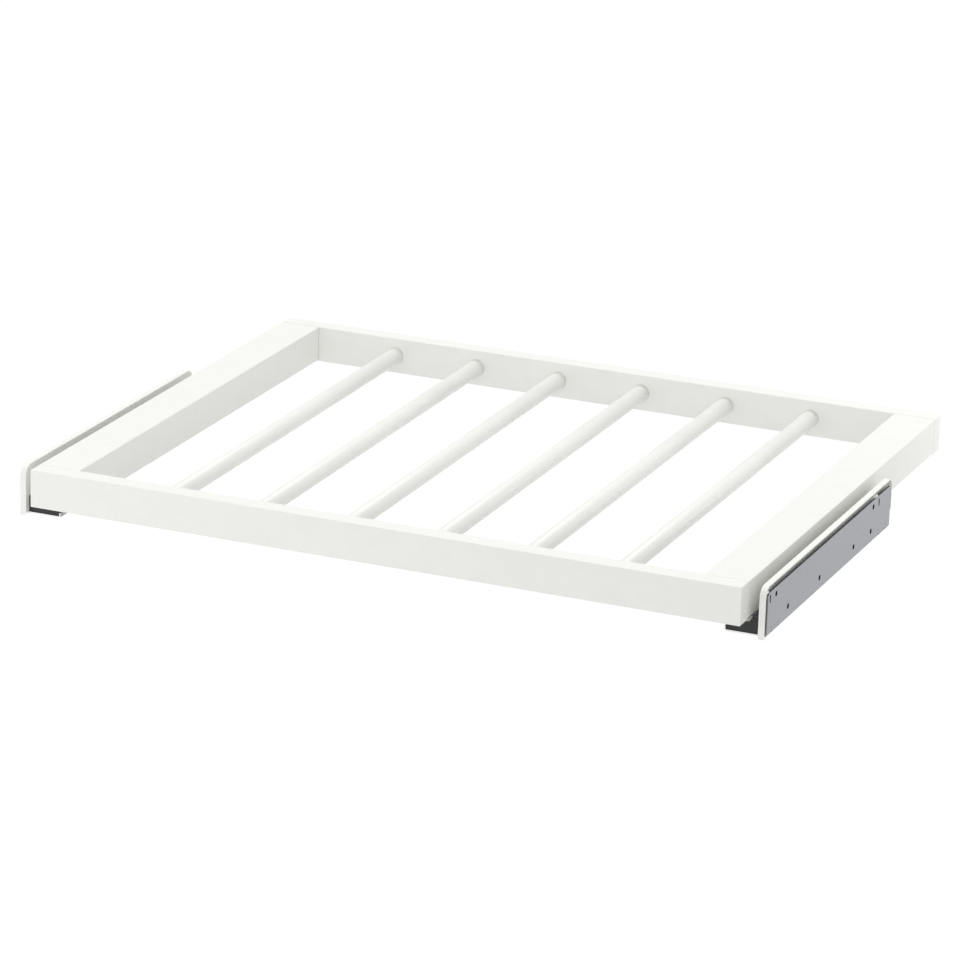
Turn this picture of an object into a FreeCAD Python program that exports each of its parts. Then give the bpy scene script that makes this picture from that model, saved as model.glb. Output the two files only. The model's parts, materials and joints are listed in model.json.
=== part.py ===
"""Pull-out trouser rack: a board frame with six rods on a pair of full-extension ball runners.

Millimetres. +X is the rack's right, +Y its back, +Z up. The origin is at the middle of the
whole object's width and depth, at the height of the lowest edge of the runner covers.
The right-hand runner is modelled and mirrored for the left. The frame can be set sideways on
its runners, and it sits a little to the right of their middle.
"""
import FreeCAD, Part
import math
import os
from FreeCAD import Vector

# ---------------------------------------------------------------- driving dimensions
# board frame
rack_width = 675.4              # over the two side rails
rack_depth = 545.5              # front face to back face
rail_height = 35.0              # front and back rails
side_rail_height = 34.0
front_rail_thickness = 18.0
back_rail_thickness = 18.0
side_rail_width = 40.0
frame_shift = 2.9               # frame's middle to the right of the runners' middle
board_edge_radius = 0.8         # rounding of the foil-wrapped edges

# rods
rod_count = 6
rod_pitch = 86.0
rod_diameter = 16.0
rod_wall = 1.0
rod_socket_depth = 9.0
rod_socket_play = 0.1           # radial
rod_end_play = 0.5              # rod's end to the socket's floor

# corner joints: one dowel, one cam bolt and one cam lock at each corner
dowel_diameter = 8.0
dowel_length = 30.0
dowel_depth_in_rail = 11.0      # share of the dowel that sits in the front or back rail
dowel_play = 0.05
dowel_chamfer = 1.0
joint_spread = 11.0             # cam and dowel to the side rail's centre line
cam_diameter = 15.0
cam_height = 12.0
cam_play = 0.1
cam_setback = 24.0              # cam's axis to the side rail's end
cam_bolt_rise = 7.0             # bolt's axis above the side rail's underside
cam_bolt_diameter = 5.0
cam_bolt_thread = 11.0          # length screwed into the front or back rail
cam_bolt_collar = 7.0           # diameter of the collar and of the head
cam_bolt_head = 3.0             # length of the head in the cam
cam_bolt_neck = 3.6             # diameter between the shank and the head
cam_bolt_play = 0.25

# runner, seen from the side
side_gap = 12.15                # side rail to the cover's inner face, less or plus the shift
cover_setback = 19.8            # rack's front face to the cover's front
cover_tail = 3.5                # bracket's back end to the cover's back
cover_top_drop = 4.7            # rack's top to the cover's top
cover_wall = 1.5
cover_rim = 0.8                 # thickness of the rim that goes round the wall
cover_rim_depth = 5.9           # rim's width, from the wall's inner face outwards
cover_front_radius = 10.0
cover_rear_radius = 8.0
cover_rear_rim_end = 17.0       # height at which the rim ends at the back
cover_edge_radius = 0.6
cover_foot_chamfer = 1.6
hook_front_place = 3.0          # front snap hook, behind the cover's front
hook_front_length = 4.5
hook_rear_place = 47.1          # rear snap hook, before the cover's back
hook_rear_length = 7.0
hook_height = 1.6               # hook over the plate's top edge
hook_drop = 3.0                 # hook's leg behind the plate

bracket_thickness = 1.5
bracket_setback = 5.4           # cover's front to the bracket's front
bracket_tail = 2.7              # outer rail's back end to the bracket's back end
bracket_bottom = 0.8            # bracket's underside above the cover's lowest edge
bracket_proud = 0.3             # plate's outer face beyond the rim
bracket_bend = 2.0              # outer bend radius
plate_corner_radius = 4.0       # plate's two top corners
plate_top_drop = 10.8           # rack's top to the plate's top edge
shelf_lip_height = 4.6
shelf_lip_bend = 1.8            # outer bend radius
shelf_lip_thickness = 1.2
shelf_width = 38.3              # plate's outer face to the shelf's inner end

# holes in the plate: heights are measured down from the rack's top, places from its front face
# for the front ones and from the bracket's back end for the back ones
hole_radius = 2.5
upper_row_drop = 17.2
lower_row_drop = 39.0
upper_front_hole = 45.8
upper_back_hole = 49.2
lower_front_holes = (78.3, 160.3)
lower_back_holes = (53.4, 101.5)
front_slot = 30.6
back_slot = 33.3
slot_width = 2.6
slot_length = 7.4
front_notches = (36.7, 53.6)
back_notches = (13.3, 31.2)
notch_width = 3.4
notch_height = 2.8
notch_reach = 3.0               # into the shelf, from the plate's inner face
dimple_rise = 5.4               # dimple's centre above the bracket's underside
dimple_sphere = 2.4
dimple_depth = 0.8

# ball runner lying flat on the shelf: three nested rails, the heights are above the shelf
runner_height = 15.1            # shelf's top to the side rail's underside
runner_length = 320.0           # middle and inner rails
stage_travel = 160.0            # middle rail out of the outer, and inner out of the middle
runner_start = 9.5              # cover's front to the middle rail's front end
runner_lip_gap = 0.5            # shelf's lip to the outer rail
rail_sheet = 1.2                # outer and inner rails
middle_sheet = 1.0
ball_radius = 1.6
ball_play = 0.1
ball_row_offset = 6.4           # ball rows to the runner's centre line
lower_ball_height = 4.6
ball_pitch = 14.0
race_wrap = 25.0                # degrees that a race reaches past the ball's widest point
outer_lip_angle = 50.0
middle_lip_angle = 80.0
crossing_angle = 30.0           # slope of the middle rail's flange between its two races
bend_radius = 1.2               # mid-sheet, outer and inner rails
tight_bend = 0.7                # mid-sheet, middle rail's bottom corners
cage_sheet = 0.5
cage_floor_gap = 0.25           # outer rail's floor to the lower cage
lower_cage_bend = 2.2
upper_cage_bend = 1.2
upper_cage_height = 7.85        # middle of the upper cage's floor
cage_wall_rise = 1.3            # cage's walls above the balls' centres
inner_rail_tuck = 1.0           # inner rail's flat side to its ball rows, mid-sheet
tab_thickness = 1.2
tab_width = 6.0
stop_gap = 0.3
buffer_thickness = 2.5
buffer_width = 7.0
rivet_diameter = 4.0
rivet_head_diameter = 7.0
rivet_head_height = 0.8
rivet_count = 4
rivet_margin = 30.0             # outer rail's ends to its outer rivets
rivet_play = 0.05               # radial

# screws through the inner rail into the side rail
screw_count = 3
screw_margin = 40.0             # inner rail's ends to its outer screws
screw_diameter = 4.0
screw_length = 22.0
screw_head_diameter = 7.0
screw_head_height = 2.0
screw_play = 0.05
recess_width = 1.0
recess_span = 4.2
recess_depth = 1.1

# dark plastic cap that closes the runner's front end, and the clip that holds the frame on it
cap_thickness = 1.7
cap_gap = 0.5                   # to the shelf below and to the cover's inner face
clip_length = 9.0
clip_height = 2.0
clip_hold = 3.0                 # under the side rail
clip_reach = 1.8                # beyond the side rail's outer face
clip_gap = 0.3
clip_edge_radius = 0.5

# ---------------------------------------------------------------- derived places
front_y = -rack_depth / 2
back_y = rack_depth / 2
front_inner_y = front_y + front_rail_thickness
back_inner_y = back_y - back_rail_thickness
side_outer_x = rack_width / 2
side_inner_x = side_outer_x - side_rail_width
side_middle_x = side_outer_x - side_rail_width / 2      # all three from the frame's middle

shelf_top = bracket_bottom + bracket_thickness
side_rail_bottom = shelf_top + runner_height
rack_top = side_rail_bottom + side_rail_height
rail_bottom = rack_top - rail_height
rail_middle = rack_top - rail_height / 2

cover_inner_x = side_outer_x + side_gap
cover_edge_x = cover_inner_x + cover_rim_depth
plate_outer_x = cover_edge_x + bracket_proud
plate_inner_x = plate_outer_x - bracket_thickness
shelf_end_x = plate_outer_x - shelf_width

cover_front_y = front_y + cover_setback
cover_top = rack_top - cover_top_drop
bracket_front_y = cover_front_y + bracket_setback
plate_top = rack_top - plate_top_drop

rod_radius = rod_diameter / 2

race_radius = ball_radius + ball_play
outer_race_mid = race_radius + rail_sheet / 2
middle_race_mid = race_radius + middle_sheet / 2
upper_ball_height = lower_ball_height + 2 * middle_race_mid / math.cos(math.radians(crossing_angle))
runner_half_width = ball_row_offset + race_radius + rail_sheet
runner_x = shelf_end_x + shelf_lip_thickness + runner_lip_gap + runner_half_width
runner_front_y = cover_front_y + runner_start
lower_cage_height = rail_sheet + cage_floor_gap + cage_sheet / 2
outer_rail_length = runner_length + stop_gap + tab_thickness
bracket_back_y = runner_front_y + outer_rail_length + bracket_tail
bracket_length = bracket_back_y - bracket_front_y
cover_back_y = bracket_back_y + cover_tail
inner_front_y = runner_front_y - stop_gap - tab_thickness
inner_back_y = runner_front_y + runner_length
inner_rail_half_width = ball_row_offset - inner_rail_tuck       # mid-sheet
cage_end_margin = tab_thickness + stop_gap
lower_cage_start = runner_front_y + cage_end_margin + stage_travel / 2
lower_cage_length = runner_length - stage_travel - 2 * cage_end_margin
upper_cage_start = lower_cage_start + buffer_thickness
upper_cage_length = lower_cage_length - buffer_thickness


# ---------------------------------------------------------------- helpers
def box(x0, x1, y0, y1, z0, z1):
    return Part.makeBox(x1 - x0, y1 - y0, z1 - z0, Vector(x0, y0, z0))


def cylinder(radius, start, axis, length):
    return Part.makeCylinder(radius, length, Vector(*start), Vector(*axis))


def mirrored(shape):
    """The left-hand twin of a right-hand piece."""
    return shape.mirror(Vector(0, 0, 0), Vector(1, 0, 0))


def save(name, solids):
    """One STEP file for one node, which is a solid or a group of separate solids."""
    shape = solids[0] if len(solids) == 1 else Part.makeCompound(solids)
    shape.exportStep("parts/" + name + ".step")
    print(name, len(shape.Solids), "solids, volume %.1f mm3" % shape.Volume)


def on_circle(centre, radius, angle):
    turn = math.radians(angle)
    return (centre[0] + radius * math.cos(turn), centre[1] + radius * math.sin(turn))


def cross_recess(x, y, z, depth):
    """Screwdriver cross that opens downwards at height z."""
    half = recess_span / 2
    thin = recess_width / 2
    one = box(x - half, x + half, y - thin, y + thin, z, z + depth)
    two = box(x - thin, x + thin, y - half, y + half, z, z + depth)
    return one.fuse(two)


# ---------------------------------------------------------------- bent sheet sections
# A section is a chain of tangent lines and arcs along the middle of the sheet, in the plane
# across the runner: u is measured outwards from the runner's centre line, w up from the shelf.
def line(start, end):
    return {"start": start, "end": end}


def arc(centre, radius, first, last):
    return {"centre": centre, "radius": radius, "first": first, "last": last}


def symmetric_chain(web_end, half):
    """The whole chain from its half on the +u side, with a flat web across the centre line."""
    left = []
    for piece in reversed(half):
        if "centre" in piece:
            centre = (-piece["centre"][0], piece["centre"][1])
            left.append(arc(centre, piece["radius"], 180 - piece["last"], 180 - piece["first"]))
        else:
            start, end = piece["start"], piece["end"]
            left.append(line((-end[0], end[1]), (-start[0], start[1])))
    web = line((-web_end[0], web_end[1]), web_end)
    return left + [web] + half


def side_points(piece, offset):
    """Points of one piece's edge, offset to the left of its direction: two, or three for an arc."""
    if "centre" in piece:
        turn = 1 if piece["last"] > piece["first"] else -1
        radius = piece["radius"] - turn * offset
        middle = (piece["first"] + piece["last"]) / 2
        return [on_circle(piece["centre"], radius, a) for a in (piece["first"], middle, piece["last"])]
    (u0, w0), (u1, w1) = piece["start"], piece["end"]
    length = math.hypot(u1 - u0, w1 - w0)
    du, dw = -(w1 - w0) / length * offset, (u1 - u0) / length * offset
    return [(u0 + du, w0 + dw), (u1 + du, w1 + dw)]


def sheet_prism(chain, thickness, centre_x, floor_z, y_start, y_end):
    """Extrude the sheet whose middle follows the chain."""
    def place(point):
        return Vector(centre_x + point[0], y_start, floor_z + point[1])

    def edge(points):
        spots = [place(p) for p in points]
        if len(spots) == 3:
            return Part.Arc(*spots).toShape()
        return Part.LineSegment(*spots).toShape()

    left = [side_points(piece, thickness / 2) for piece in chain]
    right = [side_points(piece, -thickness / 2) for piece in chain]
    edges = [edge(p) for p in left]
    edges.append(edge([left[-1][-1], right[-1][-1]]))
    edges += [edge(p[::-1]) for p in reversed(right)]
    edges.append(edge([right[0][0], left[0][0]]))
    face = Part.Face(Part.Wire(edges))
    return face.extrude(Vector(0, y_end - y_start, 0))


# ---------------------------------------------------------------- board frame
def rod_x(index):
    return frame_shift + rod_pitch * (index - (rod_count - 1) / 2)


def corners():
    """Each corner's side (+1 right, -1 left), end (+1 back, -1 front) and joint plane."""
    for side in (1, -1):
        for end in (1, -1):
            yield side, end, back_inner_y if end > 0 else front_inner_y


def side_spot(side, reach):
    """X of a place on the frame that is reach from its middle."""
    return frame_shift + side * reach


def dowel_spot(side, end, plane):
    start = plane + end * dowel_depth_in_rail
    return (side_spot(side, side_middle_x + joint_spread), start, rail_middle), (0, -end, 0)


def bolt_spot(side, end, plane):
    spot = (side_spot(side, side_middle_x - joint_spread), plane, side_rail_bottom + cam_bolt_rise)
    return spot, (0, -end, 0)


def end_rail(y0, y1, socket_plane, socket_way):
    """Front or back rail, with the rods' sockets and the joints' holes in its inner face."""
    rail = box(side_spot(-1, side_outer_x), side_spot(1, side_outer_x), y0, y1, rail_bottom, rack_top)
    rail = rail.makeFillet(board_edge_radius, rail.Edges)
    holes = []
    for index in range(rod_count):
        start = (rod_x(index), socket_plane, rail_middle)
        holes.append(cylinder(rod_radius + rod_socket_play, start, (0, socket_way, 0), rod_socket_depth))
    for side, end, plane in corners():
        if end != socket_way:
            continue
        spot, way = dowel_spot(side, end, plane)
        tip = (spot[0], spot[1] + end * dowel_play, spot[2])
        depth = dowel_depth_in_rail + dowel_play
        holes.append(cylinder(dowel_diameter / 2 + dowel_play, tip, way, depth))
        spot, way = bolt_spot(side, end, plane)
        hole_depth = cam_bolt_thread + cam_bolt_play
        bore = cam_bolt_diameter / 2 + dowel_play
        holes.append(cylinder(bore, spot, (0, end, 0), hole_depth))
    return rail.cut(holes)


def side_rail(hand):
    """Side rail between the end rails, with its joints' bores and the screws' pilot holes."""
    x0 = side_spot(hand, side_middle_x) - side_rail_width / 2
    rail = box(x0, x0 + side_rail_width, front_inner_y, back_inner_y, side_rail_bottom, rack_top)
    long_edges = [e for e in rail.Edges if abs(e.tangentAt(e.FirstParameter).y) > 0.9]
    rail = rail.makeFillet(board_edge_radius, long_edges)
    holes = []
    for side, end, plane in corners():
        if side != hand:
            continue
        spot, way = dowel_spot(side, end, plane)
        holes.append(cylinder(dowel_diameter / 2 + dowel_play, spot, way, dowel_length + dowel_play))
        spot, way = bolt_spot(side, end, plane)
        holes.append(cylinder(cam_bolt_collar / 2 + cam_bolt_play, spot, way, cam_setback))
        cam_base = (spot[0], plane - end * cam_setback, side_rail_bottom)
        holes.append(cylinder(cam_diameter / 2, cam_base, (0, 0, 1), cam_height + cam_play))
    for y in screw_ys():
        base = (hand * runner_x, y, side_rail_bottom)
        depth = screw_length - rail_sheet + screw_play
        holes.append(cylinder(screw_diameter / 2 + screw_play, base, (0, 0, 1), depth))
    return rail.cut(holes)


def rod(index):
    """Steel tube that ends in a socket at each end."""
    reach = rod_socket_depth - rod_end_play
    y0 = front_inner_y - reach
    length = back_inner_y - front_inner_y + 2 * reach
    start = (rod_x(index), y0, rail_middle)
    tube = cylinder(rod_radius, start, (0, 1, 0), length)
    return tube.cut(cylinder(rod_radius - rod_wall, start, (0, 1, 0), length))


def dowel(side, end, plane):
    spot, way = dowel_spot(side, end, plane)
    pin = cylinder(dowel_diameter / 2, spot, way, dowel_length)
    rims = [e for e in pin.Edges if isinstance(e.Curve, Part.Circle)]
    return pin.makeChamfer(dowel_chamfer, rims)


def cam_bolt(side, end, plane):
    """Threaded end in the rail, collar and shank in the side rail, head in the cam."""
    spot, way = bolt_spot(side, end, plane)
    reach = cam_setback + cam_bolt_head / 2
    neck_length = cam_diameter / 2
    collar_length = reach - cam_bolt_head - neck_length
    thread = cylinder(cam_bolt_diameter / 2, spot, (0, end, 0), cam_bolt_thread)
    collar = cylinder(cam_bolt_collar / 2, spot, way, collar_length)
    neck_start = (spot[0], spot[1] - end * collar_length, spot[2])
    neck = cylinder(cam_bolt_neck / 2, neck_start, way, neck_length)
    head_start = (spot[0], neck_start[1] - end * neck_length, spot[2])
    head = cylinder(cam_bolt_collar / 2, head_start, way, cam_bolt_head)
    return thread.fuse([collar, neck, head])


def cam_lock(side, end, plane):
    """Round cam, open towards the bolt, with a cross for the screwdriver underneath."""
    spot, way = bolt_spot(side, end, plane)
    x, y = spot[0], plane - end * cam_setback
    cam = cylinder(cam_diameter / 2 - cam_play, (x, y, side_rail_bottom), (0, 0, 1), cam_height)
    head_room = cam_bolt_collar / 2 + cam_bolt_play
    half_length = cam_bolt_head / 2 + cam_bolt_play
    chamber = cylinder(head_room, (x, y - half_length, spot[2]), (0, 1, 0), 2 * half_length)
    neck_room = cam_bolt_neck / 2 + cam_bolt_play
    throat = cylinder(neck_room, (x, y, spot[2]), (0, end, 0), cam_diameter)
    mouth_start = (x, y + end * (cam_bolt_head / 2 + cam_diameter / 2 - cam_bolt_play), spot[2])
    mouth = cylinder(head_room, mouth_start, (0, end, 0), cam_diameter)
    return cam.cut([chamber, throat, mouth, cross_recess(x, y, side_rail_bottom, recess_depth)])


# ---------------------------------------------------------------- runner: cover and bracket
def cover_outline(inset):
    """The cover's side outline as (y, z), shrunk by inset along its rim, open at the bottom."""
    y0, y1, top = cover_front_y + inset, cover_back_y - inset, cover_top - inset
    front_radius, rear_radius = cover_front_radius - inset, cover_rear_radius - inset
    front_centre = (y0 + front_radius, top - front_radius)
    rear_centre = (y1 - rear_radius, top - rear_radius)
    front_arc = [on_circle(front_centre, front_radius, a) for a in (180, 135, 90)]
    rear_arc = [on_circle(rear_centre, rear_radius, a) for a in (90, 45, 0)]
    return [[(y0, 0.0), front_arc[0]], front_arc, [front_arc[-1], rear_arc[0]], rear_arc,
            [rear_arc[-1], (y1, cover_rear_rim_end)]]


def profile_prism(pieces, x0, x1):
    """Extrude a closed outline of (y, z) lines and arcs from x0 to x1."""
    edges = []
    for piece in pieces:
        spots = [Vector(x0, y, z) for y, z in piece]
        if len(spots) == 3:
            edges.append(Part.Arc(*spots).toShape())
        else:
            edges.append(Part.LineSegment(*spots).toShape())
    return Part.Face(Part.Wire(edges)).extrude(Vector(x1 - x0, 0, 0))


def runner_cover():
    """Moulded cover: a thin wall with a rim round its front, top and upper back, and two hooks."""
    outer = cover_outline(0.0)
    inner = cover_outline(cover_rim)
    wall_back_y = cover_back_y - cover_rim
    wall = outer + [[(cover_back_y, cover_rear_rim_end), (wall_back_y, cover_rear_rim_end)],
                    [(wall_back_y, cover_rear_rim_end), (wall_back_y, shelf_top)],
                    [(wall_back_y, shelf_top), (cover_front_y + cover_rim, shelf_top)],
                    [(cover_front_y + cover_rim, shelf_top), (cover_front_y + cover_rim, 0.0)],
                    [(cover_front_y + cover_rim, 0.0), (cover_front_y, 0.0)]]
    back_step = [(cover_back_y, cover_rear_rim_end), (wall_back_y, cover_rear_rim_end)]
    foot = [(cover_front_y + cover_rim, 0.0), (cover_front_y, 0.0)]
    rim = outer + [back_step] + [p[::-1] for p in reversed(inner)] + [foot]
    solid = profile_prism(wall, cover_inner_x, cover_inner_x + cover_wall)
    solid = solid.fuse(profile_prism(rim, cover_inner_x, cover_edge_x))
    for y0, length in ((cover_front_y + hook_front_place, hook_front_length),
                       (cover_back_y - hook_rear_place, hook_rear_length)):
        leg = box(cover_inner_x + cover_wall, plate_inner_x, y0, y0 + length,
                  plate_top - hook_drop, plate_top + hook_height)
        nose = box(plate_inner_x, cover_edge_x, y0, y0 + length, plate_top, plate_top + hook_height)
        solid = solid.fuse([leg, nose])
    solid = solid.removeSplitter()
    foot_edges = [e for e in solid.Edges
                  if e.BoundBox.ZMax < 0.01 and e.BoundBox.XMax < cover_inner_x + 0.01]
    solid = solid.makeChamfer(cover_foot_chamfer, foot_edges)
    round_edges = [e for e in solid.Edges if on_rim_front(e)]
    return solid.makeFillet(cover_edge_radius, round_edges)


def on_rim_front(edge):
    """True for the rim's long outer edges, on both of its sides, down to the foot's chamfer."""
    box_ = edge.BoundBox
    at_side = box_.XLength < 0.01 and (abs(box_.XMin - cover_inner_x) < 0.01
                                       or abs(box_.XMin - cover_edge_x) < 0.01)
    if not at_side or box_.ZMin < cover_foot_chamfer - 0.01 and box_.YMin > cover_front_y + 0.01:
        return False
    middle = edge.valueAt((edge.FirstParameter + edge.LastParameter) / 2)
    at_front = abs(middle.y - cover_front_y) < 0.01
    at_top = abs(middle.z - cover_top) < 0.01
    at_back = abs(middle.y - cover_back_y) < 0.01
    spots = ((cover_front_y + cover_front_radius, cover_front_radius),
             (cover_back_y - cover_rear_radius, cover_rear_radius))
    on_corner = any(abs(math.hypot(middle.y - y, middle.z - (cover_top - r)) - r) < 0.01
                    for y, r in spots)
    return at_front or at_top or at_back or on_corner


def along_plate(front_places, back_places):
    """Y of places behind the rack's front face and of places before the bracket's back end."""
    return [front_y + place for place in front_places] + [bracket_back_y - place for place in back_places]


def mounting_bracket():
    """Sheet-steel plate against the wardrobe's side, bent in below as a shelf with a small lip."""
    y0, y1 = bracket_front_y, bracket_back_y
    plate = box(plate_inner_x, plate_outer_x, y0, y1, bracket_bottom, plate_top)
    shelf = box(shelf_end_x, plate_outer_x, y0, y1, bracket_bottom, shelf_top)
    lip = box(shelf_end_x, shelf_end_x + shelf_lip_thickness, y0, y1,
              bracket_bottom, bracket_bottom + shelf_lip_height)
    solid = plate.fuse([shelf, lip]).removeSplitter()
    for x, radius in ((plate_outer_x, bracket_bend), (shelf_end_x, shelf_lip_bend)):
        corner = [e for e in solid.Edges if e.BoundBox.YLength > bracket_length - 0.01
                  and e.BoundBox.ZMax < bracket_bottom + 0.01 and abs(e.BoundBox.XMin - x) < 0.01]
        solid = solid.makeFillet(radius, corner)
    tops = [e for e in solid.Edges if abs(e.BoundBox.XLength - bracket_thickness) < 0.01
            and e.BoundBox.ZMin > plate_top - 0.01 and e.BoundBox.YLength < 0.01]
    solid = solid.makeFillet(plate_corner_radius, tops)
    cuts = []
    for drop, ys in ((upper_row_drop, along_plate((upper_front_hole,), (upper_back_hole,))),
                     (lower_row_drop, along_plate(lower_front_holes, lower_back_holes))):
        for y in ys:
            start = (plate_inner_x - 1, y, rack_top - drop)
            cuts.append(cylinder(hole_radius, start, (1, 0, 0), bracket_thickness + 2))
    for y in along_plate((front_slot,), (back_slot,)):
        cuts.append(upright_slot(y, rack_top - upper_row_drop))
    for y in along_plate(front_notches, back_notches):
        cuts.append(box(plate_inner_x - notch_reach, plate_outer_x + 1, y - notch_width / 2,
                        y + notch_width / 2, bracket_bottom - 1, bracket_bottom + notch_height))
        centre = Vector(plate_outer_x + dimple_sphere - dimple_depth, y, bracket_bottom + dimple_rise)
        cuts.append(Part.makeSphere(dimple_sphere, centre))
    for y, z in rivet_spots():
        cuts.append(rivet_hole(y, z - 1, bracket_thickness + 2))
    return solid.cut(cuts)


def upright_slot(y, z):
    """Cutter for an upright slot with round ends through the plate."""
    reach = (slot_length - slot_width) / 2
    x0, depth = plate_inner_x - 1, bracket_thickness + 2
    body = box(x0, x0 + depth, y - slot_width / 2, y + slot_width / 2, z - reach, z + reach)
    ends = [cylinder(slot_width / 2, (x0, y, z + way * reach), (1, 0, 0), depth) for way in (-1, 1)]
    return body.fuse(ends)


# ---------------------------------------------------------------- runner: rails, cages and balls
def runner_prism(web_end, half, thickness, y_start, y_end):
    chain = symmetric_chain(web_end, half)
    return sheet_prism(chain, thickness, runner_x, shelf_top, y_start, y_end)


def tab(y, w0, w1):
    """Bent-over tab across the middle of a rail, from height w0 to w1 above the shelf."""
    half = tab_width / 2
    return box(runner_x - half, runner_x + half, y, y + tab_thickness, shelf_top + w0, shelf_top + w1)


def spread(start, length, margin, count):
    """Places spread evenly between two margins."""
    step = (length - 2 * margin) / (count - 1)
    return [start + margin + index * step for index in range(count)]


def rivet_spots():
    places = spread(runner_front_y, outer_rail_length, rivet_margin, rivet_count)
    return [(y, bracket_bottom) for y in places]


def rivet_hole(y, z, depth):
    return cylinder(rivet_diameter / 2 + rivet_play, (runner_x, y, z), (0, 0, 1), depth)


def screw_ys():
    return spread(inner_front_y, inner_back_y - inner_front_y, screw_margin, screw_count)


def outer_rail():
    """Fixed rail: a wide channel whose curled edges are the lower races."""
    web_w = rail_sheet / 2
    row = (ball_row_offset, lower_ball_height)
    slope_start = on_circle(row, outer_race_mid, -45)
    bend_u = slope_start[0] - slope_start[1] + web_w + bend_radius - 2 * bend_radius * math.sin(math.pi / 4)
    bend_centre = (bend_u, web_w + bend_radius)
    half = [arc(bend_centre, bend_radius, -90, -45),
            line(on_circle(bend_centre, bend_radius, -45), slope_start),
            arc(row, outer_race_mid, -45, outer_lip_angle)]
    y0, y1 = runner_front_y, runner_front_y + outer_rail_length
    rail = runner_prism((bend_u, web_w), half, rail_sheet, y0, y1)
    tab_top = lower_cage_height + cage_sheet / 2
    rail = rail.fuse([tab(y0, web_w, tab_top), tab(y1 - tab_thickness, web_w, tab_top)])
    holes = [rivet_hole(y, z, bracket_thickness + rail_sheet + 1) for y, z in rivet_spots()]
    return rail.removeSplitter().cut(holes)


def middle_rail():
    """Telescoping rail: its flanges run inside the lower balls and outside the upper ones."""
    low = (ball_row_offset, lower_ball_height)
    high = (ball_row_offset, upper_ball_height)
    foot_angle = 180 + race_wrap
    foot = on_circle(low, middle_race_mid, foot_angle)
    bend_centre = (foot[0] - tight_bend * math.cos(math.radians(race_wrap)),
                   foot[1] - tight_bend * math.sin(math.radians(race_wrap)))
    web_w = bend_centre[1] - tight_bend
    leave, arrive = 90 + crossing_angle, crossing_angle - 90
    half = [arc(bend_centre, tight_bend, -90, race_wrap),
            arc(low, middle_race_mid, foot_angle, leave),
            line(on_circle(low, middle_race_mid, leave), on_circle(high, middle_race_mid, arrive)),
            arc(high, middle_race_mid, arrive, middle_lip_angle)]
    y0, y1 = runner_front_y, runner_front_y + runner_length
    rail = runner_prism((bend_centre[0], web_w), half, middle_sheet, y0, y1)
    rear_tab = tab(y1 - tab_thickness, lower_cage_height - cage_sheet / 2, web_w)
    front_tab = tab(y0 + buffer_thickness, web_w, upper_cage_height)
    return rail.fuse([rear_tab, front_tab]).removeSplitter(), web_w + middle_sheet / 2


def inner_rail():
    """Rail under the side rail: a channel upside down whose waist runs inside the upper balls."""
    web_w = runner_height - rail_sheet / 2
    row = (ball_row_offset, upper_ball_height)
    outer_u = inner_rail_half_width
    waist = on_circle(row, outer_race_mid, 135)
    knee_w = waist[1] - waist[0] + outer_u - bend_radius + 2 * bend_radius * math.sin(math.pi / 4)
    shoulder = (outer_u - bend_radius, web_w - bend_radius)
    knee = (outer_u - bend_radius, knee_w)
    half = [arc(shoulder, bend_radius, 90, 0),
            line((outer_u, shoulder[1]), (outer_u, knee_w)),
            arc(knee, bend_radius, 0, -45),
            line(on_circle(knee, bend_radius, -45), waist),
            arc(row, outer_race_mid, 135, 180 + race_wrap)]
    y0, y1 = inner_front_y, inner_back_y
    rail = runner_prism((shoulder[0], web_w), half, rail_sheet, y0, y1)
    rear_tab = tab(y1 - tab_thickness, upper_cage_height, web_w)
    front_tab = tab(y0, upper_cage_height - buffer_thickness, web_w)
    holes = [cylinder(screw_diameter / 2 + screw_play, (runner_x, y, side_rail_bottom - rail_sheet - 1),
                      (0, 0, 1), rail_sheet + 2) for y in screw_ys()]
    return rail.fuse([rear_tab, front_tab]).removeSplitter().cut(holes)


def ball_spots(start, length, height):
    """Ball centres of one cage, in two rows centred on the cage's length."""
    count = int((length - ball_pitch / 2) // ball_pitch)
    first = start + (length - (count - 1) * ball_pitch) / 2
    return [(runner_x + side * ball_row_offset, first + index * ball_pitch, shelf_top + height)
            for side in (-1, 1) for index in range(count)]


def ball_cage(start, length, floor_w, bend, row_w):
    """Thin channel with an open pocket for each ball in its walls."""
    centre = (ball_row_offset - bend, floor_w + bend)
    half = [arc(centre, bend, -90, 0),
            line((ball_row_offset, centre[1]), (ball_row_offset, row_w + cage_wall_rise))]
    cage = runner_prism((centre[0], floor_w), half, cage_sheet, start, start + length)
    pockets = [cylinder(race_radius, (x - race_radius, y, z), (1, 0, 0), 2 * race_radius)
               for x, y, z in ball_spots(start, length, row_w)]
    return cage.cut(pockets)


def balls(start, length, row_w):
    return [Part.makeSphere(ball_radius, Vector(*spot)) for spot in ball_spots(start, length, row_w)]


def rivet(y, z):
    shank = cylinder(rivet_diameter / 2, (runner_x, y, z), (0, 0, 1), bracket_thickness + rail_sheet)
    head = cylinder(rivet_head_diameter / 2, (runner_x, y, z - rivet_head_height), (0, 0, 1),
                    rivet_head_height)
    rim = [e for e in head.Edges if isinstance(e.Curve, Part.Circle) and e.BoundBox.ZMax < z - 0.01]
    return shank.fuse(head.makeChamfer(rivet_head_height / 2, rim))


def closing_buffer(web_top):
    """Soft block on the middle rail, against its front tab, that the inner rail closes on."""
    half = buffer_width / 2
    block = box(runner_x - half, runner_x + half, runner_front_y, runner_front_y + buffer_thickness,
                shelf_top + web_top, shelf_top + upper_cage_height)
    edges = [e for e in block.Edges if e.BoundBox.YMax < runner_front_y + 0.01
             and e.BoundBox.ZMin > shelf_top + web_top + 0.01]
    return block.makeFillet(buffer_thickness / 3, edges)


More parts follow.
